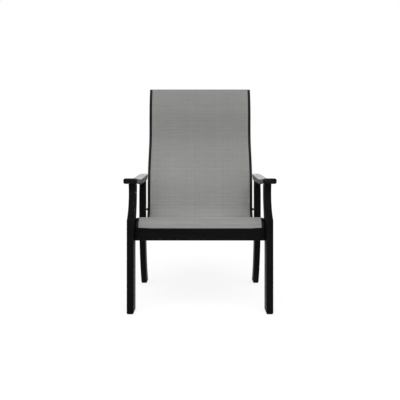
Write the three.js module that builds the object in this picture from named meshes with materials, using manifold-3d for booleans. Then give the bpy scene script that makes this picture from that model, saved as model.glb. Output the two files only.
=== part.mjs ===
// A high-backed sling patio chair: two side frames of thick plastic board, two crossbars
// between them, and a sling of woven mesh stretched between a pair of curved aluminium rails.
// Millimetres. X runs across the chair, Y runs back from the front legs, Z runs up from the floor.
// Left and right are as seen by someone who faces the chair.

import * as THREE from "three";
import { mergeVertices } from "three/addons/utils/BufferGeometryUtils.js";
import Module from "manifold-3d";

const wasm = await Module();
wasm.setup();

// Fits
const clearance = 0.3; // between pieces that are fastened together
const overrun = 5; // how far a cutter runs past what it cuts
const mergeDistance = 0.0001; // corners closer than this are one corner

// Side frames
const innerWidth = 604.8; // between the inner faces of the left and the right legs
const boardThickness = 31.5;
const boardEdgeRadius = 3;

// Foot pads
const padThickness = 3;
const padInset = 2; // from the edge of the foot to the edge of its pad
const padCornerRadius = 4;

// Front legs: straight to the shoulder, then scooped back under the arm
const frontLegDepth = 76;
const scoopRadius = 137;
const scoopSetback = 67; // deepest point of the scoop, behind the leg's front face
const scoopDrop = 43.9; // from the top of the leg down to that deepest point
const frontLegTopBack = 133; // back edge where the leg meets the arm
const frontSweepStart = 300; // where the back edge starts to lean back
const frontSweepDrop = 29.3; // from the top of the leg down to where the sweep ends
const frontSweepLowerShare = 0.385; // where the sweep's two handles stand, as shares of its height
const frontSweepUpperShare = 0.655;

// Rear legs: sabre legs that sweep back to the floor
const rearLegLead = 30; // from the front edge of the upright part back to the seat's lowest point
const rearLegDepth = 79.5;
const rearFootSweep = 110; // how far the foot stands behind the upright part
const rearFootDepth = 71;
const rearUpright = 75; // height of the straight part of the front edge
const rearTopSweep = 18; // how far the front edge runs back again under the arm
const rearTopSweepDrop = 100; // from the top of the leg down to where it starts to do so
// Handles of the two long edges of a rear leg, as shares of the sweep and of its height
const rearFrontHandleShares = { foot: [0.55, 0.22], upright: 0.59 };
const rearBackHandleShares = { foot: [0.69, 0.23], upright: 0.57 };
const rearTopHandleShare = 0.53;

// Arms
const armWidth = 62.5;
const armThickness = 25.4;
const armOverhang = 101.5; // from the back of the rear leg's upright part to the end of the arm
const armOverSeat = 273.8; // from the seat's lowest point up to the top of the arm's front end
const armDip = 11; // how far the top falls at its lowest place
const armRise = 3.6; // how far the rear end stands above the front end
const armDipPlace = 225; // that lowest place, behind the front end
const armEdgeRadius = 9;
const armEndRadius = 3;
const armRearCornerRadius = 22;
const armTaperLead = 50; // from where the inner edge moves out to pass the sling rail to the leg
const armRailGap = 1.6; // between the rear end of the arm and the sling rail

// Crossbars
const crossbarHeight = 56.6;
const crossbarThickness = 31.5;
const frontCrossbarLead = 2; // how far its face stands in front of the sling
const frontCrossbarOverSeat = 40.2; // from the seat's lowest point up to the top of the crossbar
const rearCrossbarInset = 23; // behind the front edge of the rear legs

// Sling line: the side view of the sling's upper surface, from the top of the back to the front edge
const slingFront = 45;
const noseRadius = 43;
const noseEndSlope = 5; // degrees that the seat already falls where the rounded nose ends
const seatLowPoint = 504; // lowest point of the seat, behind the front legs' faces
const seatLowHeight = 345;
const bendRadius = 105; // between the seat and the back
const bendStartSlope = 16; // degrees that the seat falls where the bend starts
const seatFrontHandle = 170;
const seatRearHandle = 110;
const lumbarOverSeat = 195; // the back stands upright from the bend up to here
const backHeight = 781.5; // from the seat's lowest point up to the top of the back
const shoulderSetback = 83; // the back leans this far back between the lumbar and the shoulder
const shoulderDrop = 342.5; // from the top of the back down to the shoulder
const shoulderSlope = 0.47; // run over rise
const headSetback = 103.5;
const headDrop = 176.5; // from the top of the back down to the head's upright part
const headUpright = 20; // height of that part
const topSetback = 142;
const topSlope = 0.5; // run over rise

// Sling cloth
const clothThickness = 1.2;
const clothEdgeRadius = 1.6;

// Sling rails: aluminium extrusions with a channel that grips the cloth
const railWidth = 25.4;
const railDepth = 28;
const railOuterRadius = 6;
const railInnerRadius = 2;
const railBackRadius = 3;
const channelRadius = 4;
const slotWidth = 3;
const slotInset = 15.5; // from the rail's outer face to the slot
const slotLip = 2.2; // metal left above the channel
const slotOverlap = 0.6; // from the cloth's edge out to the slot's outer lip
const splineRadius = 3.2;
const capThickness = 2.5;
const fastenerDepth = 18; // from the sling's surface to the screws through the rails

// Spreader bars between the rails
const spreaderRadius = 9.5;
const spreaderBow = 30;
const topSpreaderShare = 0.27; // along the uppermost curve of the sling line
const lumbarSpreaderAngle = -15.6; // degrees round the bend, from straight behind its centre
const seatSpreaderShare = 0.72; // along the seat, from the bend to the nose

// Screws
const screwRadius = 4;
const screwHeadRadius = 7;
const screwHeadRim = 0.8;
const screwRecess = 0.4; // from the surface down to the head
const screwPlay = 0.3;
const crossbarScrewBite = 30; // length of a screw in the crossbar
const crossbarScrewSpread = 28; // between the two screws at one end of a crossbar
const railScrewBite = 15;
const spreaderScrewBite = 20;
const armScrewRadius = 2.5;
const armScrewHeadRadius = 5;
const armScrewBite = 30;
const armScrewSpread = 34; // between the two screws into the top of one leg
const frontRailScrewAngle = 135; // degrees round the nose
const rearRailScrewAngle = -80; // degrees round the bend

// Hexagon bolts that hold the lumbar spreader
const hexHeadRadius = 7.3;
const hexHeadHeight = 5.3;
const washerRadius = 8;
const washerThickness = 1.6;

// Fineness
const outlineSteps = 7;
const edgeSteps = 2;
const screwSides = 8;
const rodSides = 6;
const spreaderSides = 10;
const spreaderSteps = 12;
const armSteps = 12;
const cornerSteps = 3;
const channelSteps = 8;
const lineSteps = { top: 6, shoulder: 3, lumbar: 6, bend: 9, seat: 6, nose: 6 };

const polymer = new THREE.MeshStandardMaterial({ color: 0x0f0f10, roughness: 0.45, metalness: 0 });
const aluminium = new THREE.MeshStandardMaterial({ color: 0x111112, roughness: 0.4, metalness: 0.3 });
const mesh = new THREE.MeshStandardMaterial({ color: 0x8f8f8d, roughness: 0.9, metalness: 0 });
const nylon = new THREE.MeshStandardMaterial({ color: 0x161616, roughness: 0.6, metalness: 0 });
const steel = new THREE.MeshStandardMaterial({ color: 0x1a1a1c, roughness: 0.35, metalness: 0.8 });

// Places that follow from the sizes
const rearLegSetback = seatLowPoint - rearLegLead;
const rearLegBack = rearLegSetback + rearLegDepth;
const armLength = rearLegBack + armOverhang;
const armTaperStart = rearLegSetback - armTaperLead;
const armHeight = seatLowHeight + armOverSeat;
const frontCrossbarSetback = slingFront - frontCrossbarLead;
const frontCrossbarTop = seatLowHeight + frontCrossbarOverSeat;
const rearCrossbarSetback = rearLegSetback + rearCrossbarInset;
const lumbarHeight = seatLowHeight + lumbarOverSeat;
const topHeight = seatLowHeight + backHeight;
const shoulderHeight = topHeight - shoulderDrop;
const headHighHeight = topHeight - headDrop;
const headLowHeight = headHighHeight - headUpright;

// Helpers

const degrees = THREE.MathUtils.degToRad;
const smooth = THREE.MathUtils.smoothstep;
const sideways = new THREE.Matrix4().makeBasis(
  new THREE.Vector3(0, 1, 0),
  new THREE.Vector3(0, 0, 1),
  new THREE.Vector3(1, 0, 0),
); // turns an outline drawn in (y, z) and extruded along z so that it is extruded along x

// Points of an arc round a centre, angles in degrees.
function arc(x, y, radius, from, to, steps) {
  return Array.from({ length: steps + 1 }, (_, i) => {
    const angle = degrees(from + ((to - from) * i) / steps);
    return new THREE.Vector2(x + radius * Math.cos(angle), y + radius * Math.sin(angle));
  });
}

// A rectangle with a radius on each corner: right bottom, right top, left top, left bottom.
function roundedRectangle(left, bottom, right, top, radii, steps) {
  const [rb, rt, lt, lb] = radii;
  return [
    ...arc(right - rb, bottom + rb, rb, -90, 0, steps),
    ...arc(right - rt, top - rt, rt, 0, 90, steps),
    ...arc(left + lt, top - lt, lt, 90, 180, steps),
    ...arc(left + lb, bottom + lb, lb, 180, 270, steps),
  ];
}

// A closed solid through rings that repeat one outline, each ring further along than the last.
function loft(outline, rings) {
  const count = outline.length;
  const faces = THREE.ShapeUtils.triangulateShape(outline, []);
  const last = (rings.length - 1) * count;
  const index = faces.flatMap(([a, b, c]) => [c, b, a, last + a, last + b, last + c]);
  for (let ring = 0; ring < rings.length - 1; ring++) {
    for (let i = 0; i < count; i++) {
      const a = ring * count + i;
      const b = ring * count + ((i + 1) % count);
      index.push(a, b, b + count, a, b + count, a + count);
    }
  }
  return new THREE.BufferGeometry()
    .setAttribute("position", new THREE.Float32BufferAttribute(rings.flat(2), 3))
    .setIndex(index);
}

// Joining and cutting closed solids.
function toSolid(geometry) {
  const bare = geometry.clone();
  bare.deleteAttribute("normal");
  bare.deleteAttribute("uv");
  const merged = mergeVertices(bare, mergeDistance);
  return new wasm.Manifold(
    new wasm.Mesh({
      numProp: 3,
      vertProperties: new Float32Array(merged.attributes.position.array),
      triVerts: new Uint32Array(merged.index.array),
    }),
  );
}

function toGeometry(solid) {
  const { vertProperties, triVerts } = solid.getMesh();
  const geometry = new THREE.BufferGeometry()
    .setAttribute("position", new THREE.BufferAttribute(vertProperties, 3))
    .setIndex(new THREE.BufferAttribute(triVerts, 1));
  geometry.computeVertexNormals();
  return geometry;
}

function cut(geometry, cutters) {
  const solid = cutters.reduce((body, cutter) => body.subtract(toSolid(cutter)), toSolid(geometry));
  return toGeometry(solid);
}

// Screws

// A countersunk screw whose axis is +Y, with the middle of its head's rim at the origin.
function screw(length, radius, headRadius, play = 0, above = 0) {
  const shank = radius + play;
  const rim = headRadius + play;
  const profile = [
    new THREE.Vector2(0, -length - play),
    new THREE.Vector2(shank, -length - play),
    new THREE.Vector2(shank, shank - rim - screwHeadRim),
    new THREE.Vector2(rim, -screwHeadRim),
    new THREE.Vector2(rim, above),
    new THREE.Vector2(0, above),
  ];
  return new THREE.LatheGeometry(profile, screwSides);
}

// The same screw laid along +X, with its head recessed under the face at x.
function sideScrew(x, y, z, length, grown) {
  const place = x - screwRecess;
  const body = grown
    ? screw(length, screwRadius, screwHeadRadius, screwPlay, screwRecess + overrun)
    : screw(length, screwRadius, screwHeadRadius);
  return body.rotateZ(-Math.PI / 2).translate(place, y, z);
}

// The same screw upright, with its head under the arm's upper face.
function armScrew(x, y, grown) {
  const z = armTopAt(y) - screwRecess;
  const length = armThickness - screwRecess + armScrewBite;
  const body = grown
    ? screw(length, armScrewRadius, armScrewHeadRadius, screwPlay, screwRecess + overrun)
    : screw(length, armScrewRadius, armScrewHeadRadius);
  return body.rotateX(Math.PI / 2).translate(x, y, z);
}

// Sling line

const backFoot = seatLowPoint + bendRadius;
const bendCentre = new THREE.Vector2(seatLowPoint, seatLowHeight + bendRadius);
const noseHeight = frontCrossbarTop + clearance + capThickness;
const noseCentre = new THREE.Vector2(slingFront + noseRadius, noseHeight);
const noseEndAngle = 90 - noseEndSlope;
const bendStartAngle = -90 - bendStartSlope;

function onNose(angle, radius) {
  return arc(noseCentre.x, noseCentre.y, radius, angle, angle, 1)[0];
}

function onBend(angle, radius) {
  return arc(bendCentre.x, bendCentre.y, radius, angle, angle, 1)[0];
}

// A point further up a line that leans back by slope, run over rise.
function leaning(point, slope, rise) {
  return new THREE.Vector2(point.x + slope * rise, point.y + rise);
}

// A point further along a line that falls towards the back by an angle in degrees.
function falling(point, angle, distance) {
  const fall = degrees(angle);
  return new THREE.Vector2(point.x + distance * Math.cos(fall), point.y - distance * Math.sin(fall));
}

const topPoint = new THREE.Vector2(backFoot + topSetback, topHeight);
const headTop = new THREE.Vector2(backFoot + headSetback, headHighHeight);
const headBottom = new THREE.Vector2(backFoot + headSetback, headLowHeight);
const shoulder = new THREE.Vector2(backFoot + shoulderSetback, shoulderHeight);
const lumbar = new THREE.Vector2(backFoot, lumbarHeight);
const bendEnd = onBend(bendStartAngle, bendRadius);
const noseEnd = onNose(noseEndAngle, noseRadius);

const headRise = (topHeight - headHighHeight) / 3;
const shoulderRise = (headLowHeight - shoulderHeight) / 3;
const lumbarRise = (shoulderHeight - lumbarHeight) / 3;
const topCurve = new THREE.CubicBezierCurve(
  topPoint,
  leaning(topPoint, topSlope, -headRise),
  leaning(headTop, 0, headRise),
  headTop,
);
const shoulderCurve = new THREE.CubicBezierCurve(
  headBottom,
  leaning(headBottom, 0, -shoulderRise),
  leaning(shoulder, shoulderSlope, shoulderRise),
  shoulder,
);
const lumbarCurve = new THREE.CubicBezierCurve(
  shoulder,
  leaning(shoulder, shoulderSlope, -lumbarRise),
  leaning(lumbar, 0, lumbarRise),
  lumbar,
);
const seatCurve = new THREE.CubicBezierCurve(
  bendEnd,
  falling(bendEnd, bendStartSlope, -seatRearHandle),
  falling(noseEnd, noseEndSlope, seatFrontHandle),
  noseEnd,
);

// Each stretch of the line gives stations: a point in (y, z) and the direction of travel there.
function stationsOn(curve, steps) {
  return Array.from({ length: steps + 1 }, (_, i) => ({
    point: curve.getPoint(i / steps),
    along: curve.getTangent(i / steps),
  }));
}

function stationsRound(centre, radius, from, to, steps) {
  const points = arc(centre.x, centre.y, radius, from, to, steps);
  const turn = Math.sign(to - from);
  return points.map((point) => {
    const outward = point.clone().sub(centre).normalize();
    return { point, along: new THREE.Vector2(-outward.y * turn, outward.x * turn) };
  });
}

const slingStations = [
  ...stationsOn(topCurve, lineSteps.top),
  ...stationsOn(shoulderCurve, lineSteps.shoulder),
  ...stationsOn(lumbarCurve, lineSteps.lumbar).slice(1),
  ...stationsRound(bendCentre, bendRadius, 0, bendStartAngle, lineSteps.bend),
  ...stationsOn(seatCurve, lineSteps.seat).slice(1),
  ...stationsRound(noseCentre, noseRadius, noseEndAngle, 180, lineSteps.nose).slice(1),
];
const frontStation = slingStations.at(-1);

function moved(station, distance) {
  return { point: station.point.clone().addScaledVector(station.along, distance), along: station.along };
}

// A point of a section, out to the side by x and off the sling's surface by n, at one station.
function onStation({ point, along }, x, n) {
  return [x, point.x + along.y * n, point.y - along.x * n];
}

function sweep(outline, stations) {
  return loft(
    outline,
    stations.map((station) => outline.map((corner) => onStation(station, corner.x, corner.y))),
  );
}

// Sling rails

const railFace = -(clothThickness + clearance); // the rail's front face, under the cloth
const railBack = railFace - railDepth;
const railOuter = innerWidth / 2 - clearance;
const railInner = railOuter - railWidth;
const slotOuter = railOuter - slotInset;
const slotInner = slotOuter - slotWidth;
const slotMiddle = (slotOuter + slotInner) / 2;
const clothEdge = slotOuter - slotOverlap; // where the cloth dips into the rail
const channelDepth = Math.sqrt(channelRadius ** 2 - (slotWidth / 2) ** 2);
const channelCentre = railFace - slotLip - channelDepth;
const slotAngle = THREE.MathUtils.radToDeg(Math.asin(slotWidth / 2 / channelRadius));

// The outline common to the rails and their caps, with a groove between the lips of the slot.
function railOutline(groove) {
  return [
    ...arc(railOuter - railBackRadius, railBack + railBackRadius, railBackRadius, -90, 0, edgeSteps),
    ...arc(railOuter - railOuterRadius, railFace - railOuterRadius, railOuterRadius, 0, 90, cornerSteps),
    new THREE.Vector2(slotOuter, railFace),
    ...groove,
    new THREE.Vector2(slotInner, railFace),
    ...arc(railInner + railInnerRadius, railFace - railInnerRadius, railInnerRadius, 90, 180, edgeSteps),
    ...arc(railInner + railBackRadius, railBack + railBackRadius, railBackRadius, 180, 270, edgeSteps),
  ];
}

// The channel's wall, down from the outer lip and up to the inner one.
const channelWall = arc(
  slotMiddle,
  channelCentre,
  channelRadius,
  90 - slotAngle,
  slotAngle - 270,
  channelSteps,
);
const clothTail = channelCentre + splineRadius + clearance; // the cloth's edge, over the spline rod
const capReach = capThickness + clearance;
const railStations = [
  moved(slingStations[0], capReach),
  ...slingStations.slice(1, -1),
  moved(frontStation, -clearance),
];

// Places where screws pass through the rails, as stations of the line
const topSpreaderStation = {
  point: topCurve.getPoint(topSpreaderShare),
  along: topCurve.getTangent(topSpreaderShare),
};
const seatSpreaderStation = {
  point: seatCurve.getPoint(seatSpreaderShare),
  along: seatCurve.getTangent(seatSpreaderShare),
};
const lumbarSpreaderStation = stationsRound(
  bendCentre,
  bendRadius,
  lumbarSpreaderAngle,
  bendStartAngle,
  1,
)[0];
const frontRailScrew = onNose(frontRailScrewAngle, noseRadius - fastenerDepth);
const rearRailScrew = onBend(rearRailScrewAngle, bendRadius + fastenerDepth);

function fastenerPlace(station) {
  const [, y, z] = onStation(station, 0, -fastenerDepth);
  return { y, z };
}

const spreaderScrewLength = railWidth - screwRecess + spreaderScrewBite;

function spreaderScrew(station, grown) {
  const { y, z } = fastenerPlace(station);
  return sideScrew(railOuter, y, z, spreaderScrewLength, grown);
}

// A hexagon bolt through the rail, with a washer under its head
function roundBar(radius, from, to, y, z) {
  return new THREE.CylinderGeometry(radius, radius, to - from, screwSides)
    .rotateZ(-Math.PI / 2)
    .translate((from + to) / 2, y, z);
}

function lumbarBolt() {
  const { y, z } = fastenerPlace(lumbarSpreaderStation);
  const seat = railOuter + clearance + washerThickness;
  const profile = [
    new THREE.Vector2(0, railInner - spreaderScrewBite),
    new THREE.Vector2(screwRadius, railInner - spreaderScrewBite),
    new THREE.Vector2(screwRadius, seat + hexHeadHeight / 2),
    new THREE.Vector2(0, seat + hexHeadHeight / 2),
  ];
  const shank = new THREE.LatheGeometry(profile, screwSides).rotateZ(-Math.PI / 2).translate(0, y, z);
  const head = new THREE.CylinderGeometry(hexHeadRadius, hexHeadRadius, hexHeadHeight, 6)
    .rotateZ(-Math.PI / 2)
    .translate(seat + hexHeadHeight / 2, y, z);
  return toGeometry(toSolid(shank).add(toSolid(head)));
}

function lumbarWasher() {
  const { y, z } = fastenerPlace(lumbarSpreaderStation);
  const from = railOuter + clearance / 2;
  const to = from + washerThickness;
  const plate = roundBar(washerRadius, from, to, y, z);
  return cut(plate, [roundBar(screwRadius + screwPlay, from - overrun, to + overrun, y, z)]);
}

function lumbarHole() {
  const { y, z } = fastenerPlace(lumbarSpreaderStation);
  const end = railInner - spreaderScrewBite - screwPlay;
  return roundBar(screwRadius + screwPlay, end, railOuter + overrun, y, z);
}

function railScrew(place, grown) {
  const face = innerWidth / 2 + boardThickness;
  const length = boardThickness + clearance - screwRecess + railScrewBite;
  return sideScrew(face, place.x, place.y, length, grown);
}

function slingRail() {
  return cut(sweep(railOutline(channelWall), railStations), [
    spreaderScrew(topSpreaderStation, true),
    spreaderScrew(seatSpreaderStation, true),
    lumbarHole(),
    railScrew(frontRailScrew, true),
    railScrew(rearRailScrew, true),
  ]);
}

// Rail caps: plates of the rail's outline that close its channel and leave a notch for the cloth

function railCap(stations) {
  const notch = [
    new THREE.Vector2(slotOuter, clothTail - clearance),
    new THREE.Vector2(slotInner, clothTail - clearance),
  ];
  return sweep(railOutline(notch), stations);
}

// Sling cloth: a sheet whose edges dip through the rails' slots

function slingCloth() {
  const bend = clothEdge - clothEdgeRadius;
  const half = [
    new THREE.Vector2(bend, -clothThickness),
    new THREE.Vector2(clothEdge - clothThickness, -clothThickness - clothEdgeRadius / 2),
    new THREE.Vector2(clothEdge - clothThickness, clothTail),
    new THREE.Vector2(clothEdge, clothTail),
    ...arc(bend, -clothEdgeRadius, clothEdgeRadius, 0, 90, edgeSteps),
  ];
  const other = half.map((corner) => new THREE.Vector2(-corner.x, corner.y)).reverse();
  return sweep([...half, ...other], [...slingStations, moved(frontStation, capThickness)]);
}

function splineRod() {
  const outline = arc(slotMiddle, channelCentre, splineRadius, 0, 360, rodSides).slice(1);
  return sweep(outline, railStations);
}

// Spreader bars bow away from the cloth

function spreader(station, holes) {
  const half = railInner - clearance;
  const outline = arc(0, 0, spreaderRadius, 0, 360, spreaderSides).slice(1);
  const rings = Array.from({ length: spreaderSteps + 1 }, (_, i) => {
    const x = -half + (2 * half * i) / spreaderSteps;
    const depth = -fastenerDepth - spreaderBow * (1 - (x / half) ** 2);
    const [, y, z] = onStation(station, 0, depth);
    return outline.map((corner) => [x, y + corner.x, z + corner.y]);
  });
  return cut(loft(outline, rings), holes.flatMap((hole) => [hole, mirrored(hole)]));
}

function mirrored(geometry) {
  const copy = geometry.toNonIndexed().scale(-1, 1, 1);
  const { array } = copy.attributes.position;
  for (let i = 0; i < array.length; i += 9) {
    const corner = array.slice(i, i + 3);
    array.copyWithin(i, i + 3, i + 6);
    array.set(corner, i + 3);
  }
  return copy;
}

// Arms

function armTopAt(y) {
  const fall = armDip * smooth(y, 0, armDipPlace);
  const rise = (armDip + armRise) * smooth(y, armDipPlace, armLength);
  return armHeight - fall + rise;
}

function armUndersideAt(y) {
  return armTopAt(y) - armThickness;
}

const armMiddle = innerWidth / 2 + boardThickness / 2;
const armInner = armMiddle - armWidth / 2;
const armOuter = armMiddle + armWidth / 2;
const armRearInner = railOuter + armRailGap;

// The edges of the arm seen from above
function armInnerAt(y) {
  return armInner + (armRearInner - armInner) * smooth(y, armTaperStart, armLength);
}

function armOuterAt(y) {
  const past = Math.max(y - (armLength - armRearCornerRadius), 0);
  return armOuter - armRearCornerRadius + Math.sqrt(armRearCornerRadius ** 2 - past ** 2);
}

function armStations() {
  const rounding = arc(0, 0, armEndRadius, 180, 90, edgeSteps).map((corner) => ({
    past: armEndRadius + corner.x,
    inset: armEndRadius - corner.y,
  }));
  const straight = armLength - armRearCornerRadius;
  const middle = Array.from({ length: armSteps }, (_, i) => ({
    y: (straight * (i + 1)) / armSteps,
    inset: 0,
  }));
  const corner = arc(0, 0, armRearCornerRadius, 0, 90, cornerSteps + 1)
    .slice(1, -1)
    .map(({ y }) => ({ y: straight + y, inset: 0 }));
  return [
    ...rounding.map(({ past, inset }) => ({ y: past, inset })),
    ...middle,
    ...corner,
    ...rounding.reverse().map(({ past, inset }) => ({ y: armLength - past, inset })),
  ];
}

function armRing({ y, inset }) {
  const radius = armEdgeRadius - inset;
  const top = armTopAt(y) - inset;
  const bottom = armUndersideAt(y) + inset;
  const left = armInnerAt(y) + inset;
  const right = armOuterAt(Math.min(y, armLength - armEndRadius)) - inset;
  return roundedRectangle(left, bottom, right, top, Array(4).fill(radius), cornerSteps);
}

function arm() {
  const stations = armStations().sort((a, b) => b.y - a.y);
  const sections = stations.map(armRing);
  const rings = sections.map((section, i) => section.map((corner) => [corner.x, stations[i].y, corner.y]));
  return cut(loft(sections[0], rings), armScrewPlaces.map((y) => armScrew(armMiddle, y, true)));
}

// Legs

const boardOptions = {
  depth: boardThickness - 2 * boardEdgeRadius,
  bevelThickness: boardEdgeRadius,
  bevelSize: boardEdgeRadius,
  bevelOffset: -boardEdgeRadius,
  bevelSegments: edgeSteps,
  curveSegments: outlineSteps,
};

// A board sawn to an outline in (y, z), with its inner face at the inside of the frame.
function board(shape) {
  return new THREE.ExtrudeGeometry(shape, boardOptions)
    .applyMatrix4(sideways)
    .translate(innerWidth / 2 + boardEdgeRadius, 0, 0);
}

const scoopCentre = scoopSetback - scoopRadius;
const scoopStart = -Math.acos(-scoopCentre / scoopRadius);
const scoopTop = armUndersideAt(scoopSetback) - clearance;
const scoopHeight = scoopTop - scoopDrop;
const scoopEnd = Math.asin((scoopTop - scoopHeight) / scoopRadius);
const frontLegTopFront = scoopCentre + scoopRadius * Math.cos(scoopEnd);

const frontLegTop = armUndersideAt(frontLegTopBack) - clearance;
const frontSweepEnd = frontLegTop - frontSweepDrop;

function frontLegShape() {
  const sweep = frontSweepEnd - frontSweepStart;
  const shape = new THREE.Shape();
  shape.moveTo(0, padThickness);
  shape.lineTo(frontLegDepth, padThickness);
  shape.lineTo(frontLegDepth, frontSweepStart);
  shape.bezierCurveTo(
    frontLegDepth,
    frontSweepStart + sweep * frontSweepLowerShare,
    frontLegTopBack,
    frontSweepStart + sweep * frontSweepUpperShare,
    frontLegTopBack,
    frontSweepEnd,
  );
  shape.lineTo(frontLegTopBack, frontLegTop);
  shape.lineTo(frontLegTopFront, scoopTop);
  shape.absarc(scoopCentre, scoopHeight, scoopRadius, scoopEnd, scoopStart, true);
  return shape;
}

const rearFootFront = rearLegSetback + rearFootSweep;
const rearFootBack = rearFootFront + rearFootDepth;
const rearLegTopFront = rearLegSetback + rearTopSweep;
const rearLegTop = armUndersideAt(rearLegTopFront) - clearance;
const rearTopSweepStart = rearLegTop - rearTopSweepDrop;
const rearSweepHeight = rearTopSweepStart - rearUpright;

function rearLegShape() {
  const backSweep = rearFootBack - rearLegBack;
  const front = rearFrontHandleShares;
  const back = rearBackHandleShares;
  const shape = new THREE.Shape();
  shape.moveTo(rearFootFront, padThickness);
  shape.lineTo(rearFootBack, padThickness);
  shape.bezierCurveTo(
    rearFootBack - backSweep * back.foot[0],
    padThickness + rearSweepHeight * back.foot[1],
    rearLegBack,
    padThickness + rearSweepHeight * back.upright,
    rearLegBack,
    rearSweepHeight,
  );
  shape.lineTo(rearLegBack, armUndersideAt(rearLegBack) - clearance);
  shape.lineTo(rearLegTopFront, rearLegTop);
  shape.quadraticCurveTo(
    rearLegSetback,
    rearTopSweepStart + (rearLegTop - rearTopSweepStart) * rearTopHandleShare,
    rearLegSetback,
    rearTopSweepStart,
  );
  shape.lineTo(rearLegSetback, rearSweepHeight);
  shape.bezierCurveTo(
    rearLegSetback,
    padThickness + rearSweepHeight * front.upright,
    rearFootFront - rearFootSweep * front.foot[0],
    padThickness + rearSweepHeight * front.foot[1],
    rearFootFront,
    padThickness,
  );
  return shape;
}

const frontTopMiddle = (frontLegTopFront + frontLegTopBack) / 2;
const rearTopMiddle = (rearLegTopFront + rearLegBack) / 2;
const armScrewPlaces = [frontTopMiddle, rearTopMiddle].flatMap((y) => [
  y - armScrewSpread / 2,
  y + armScrewSpread / 2,
]);

// Crossbars

const rearCrossbarTop = seatLowHeight + railBack - clearance;
const frontCrossbar = { setback: frontCrossbarSetback, top: frontCrossbarTop };
const rearCrossbar = { setback: rearCrossbarSetback, top: rearCrossbarTop };

function crossbarScrewPlaces({ setback, top }) {
  const y = setback + crossbarThickness / 2;
  const z = top - crossbarHeight / 2;
  return [z - crossbarScrewSpread / 2, z + crossbarScrewSpread / 2].map((height) => ({ y, z: height }));
}

function crossbarScrew({ y, z }, grown) {
  const face = innerWidth / 2 + boardThickness;
  const length = boardThickness + clearance - screwRecess + crossbarScrewBite;
  return sideScrew(face, y, z, length, grown);
}

function crossbar(bar) {
  const half = innerWidth / 2 - clearance;
  const radii = Array(4).fill(boardEdgeRadius);
  const { setback, top } = bar;
  const bottom = top - crossbarHeight;
  const back = setback + crossbarThickness;
  const outline = roundedRectangle(setback, bottom, back, top, radii, edgeSteps);
  const length = { depth: 2 * half, bevelEnabled: false };
  const body = new THREE.ExtrudeGeometry(new THREE.Shape(outline), length)
    .applyMatrix4(sideways)
    .translate(-half, 0, 0);
  const holes = crossbarScrewPlaces(bar).map((place) => crossbarScrew(place, true));
  return cut(body, holes.flatMap((hole) => [hole, mirrored(hole)]));
}

function frontLeg() {
  return cut(board(frontLegShape()), [
    ...crossbarScrewPlaces(frontCrossbar).map((place) => crossbarScrew(place, true)),
    railScrew(frontRailScrew, true),
    ...armScrewPlaces.slice(0, 2).map((y) => armScrew(armMiddle, y, true)),
  ]);
}

function rearLeg() {
  return cut(board(rearLegShape()), [
    ...crossbarScrewPlaces(rearCrossbar).map((place) => crossbarScrew(place, true)),
    railScrew(rearRailScrew, true),
    ...armScrewPlaces.slice(2).map((y) => armScrew(armMiddle, y, true)),
  ]);
}

// Foot pads

function footPad(front, back) {
  const inner = innerWidth / 2;
  const outline = roundedRectangle(
    inner + padInset,
    front + padInset,
    inner + boardThickness - padInset,
    back - padInset,
    Array(4).fill(padCornerRadius),
    edgeSteps,
  );
  const thickness = { depth: padThickness, bevelEnabled: false };
  return new THREE.ExtrudeGeometry(new THREE.Shape(outline), thickness);
}

// The whole chair

const chair = new THREE.Group();

function add(parent, name, geometry, material) {
  const part = new THREE.Mesh(geometry, material);
  part.name = name;
  parent.add(part);
}

const sidePieces = [
  ["front_leg", frontLeg(), polymer],
  ["rear_leg", rearLeg(), polymer],
  ["arm", arm(), polymer],
  ["sling_rail", slingRail(), aluminium],
  ["spline_rod", splineRod(), nylon],
  ["top_rail_cap", railCap([slingStations[0], moved(slingStations[0], capThickness)]), nylon],
  ["front_rail_cap", railCap([frontStation, moved(frontStation, capThickness)]), nylon],
  ["front_foot_pad", footPad(0, frontLegDepth), nylon],
  ["rear_foot_pad", footPad(rearFootFront, rearFootBack), nylon],
  ["top_spreader_screw", spreaderScrew(topSpreaderStation), steel],
  ["seat_spreader_screw", spreaderScrew(seatSpreaderStation), steel],
  ["lumbar_bolt", lumbarBolt(), steel],
  ["lumbar_washer", lumbarWasher(), steel],
  ["front_rail_screw", railScrew(frontRailScrew), steel],
  ["rear_rail_screw", railScrew(rearRailScrew), steel],
  ...crossbarScrewPlaces(frontCrossbar).map((place, i) => [
    `front_crossbar_screw_${i + 1}`,
    crossbarScrew(place),
    steel,
  ]),
  ...crossbarScrewPlaces(rearCrossbar).map((place, i) => [
    `rear_crossbar_screw_${i + 1}`,
    crossbarScrew(place),
    steel,
  ]),
  ...armScrewPlaces.map((y, i) => [`arm_screw_${i + 1}`, armScrew(armMiddle, y), steel]),
];

for (const side of ["right", "left"]) {
  const frame = new THREE.Group();
  frame.scale.x = side === "right" ? 1 : -1;
  for (const [name, geometry, material] of sidePieces) {
    add(frame, `${name}_${side}`, geometry, material);
  }
  chair.add(frame);
}

add(chair, "front_crossbar", crossbar(frontCrossbar), polymer);
add(chair, "rear_crossbar", crossbar(rearCrossbar), polymer);
add(chair, "sling", slingCloth(), mesh);
const spreaders = [
  ["top_spreader", topSpreaderStation, spreaderScrew(topSpreaderStation, true)],
  ["lumbar_spreader", lumbarSpreaderStation, lumbarHole()],
  ["seat_spreader", seatSpreaderStation, spreaderScrew(seatSpreaderStation, true)],
];
for (const [name, station, hole] of spreaders) {
  add(chair, name, spreader(station, [hole]), aluminium);
}

// The origin is on the floor, under the middle of the chair.
const bounds = new THREE.Box3().setFromObject(chair);
chair.position.y = -(bounds.min.y + bounds.max.y) / 2;

export default chair;
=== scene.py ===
# %% [markdown]
# # A sling patio chair
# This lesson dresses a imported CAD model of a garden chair: black side frames sawn from thick
# plastic board, and a grey woven sling stretched between two curved aluminium rails. The CAD model
# says where everything is. The steps below add fine curves, stitching, grain and light.

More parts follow.
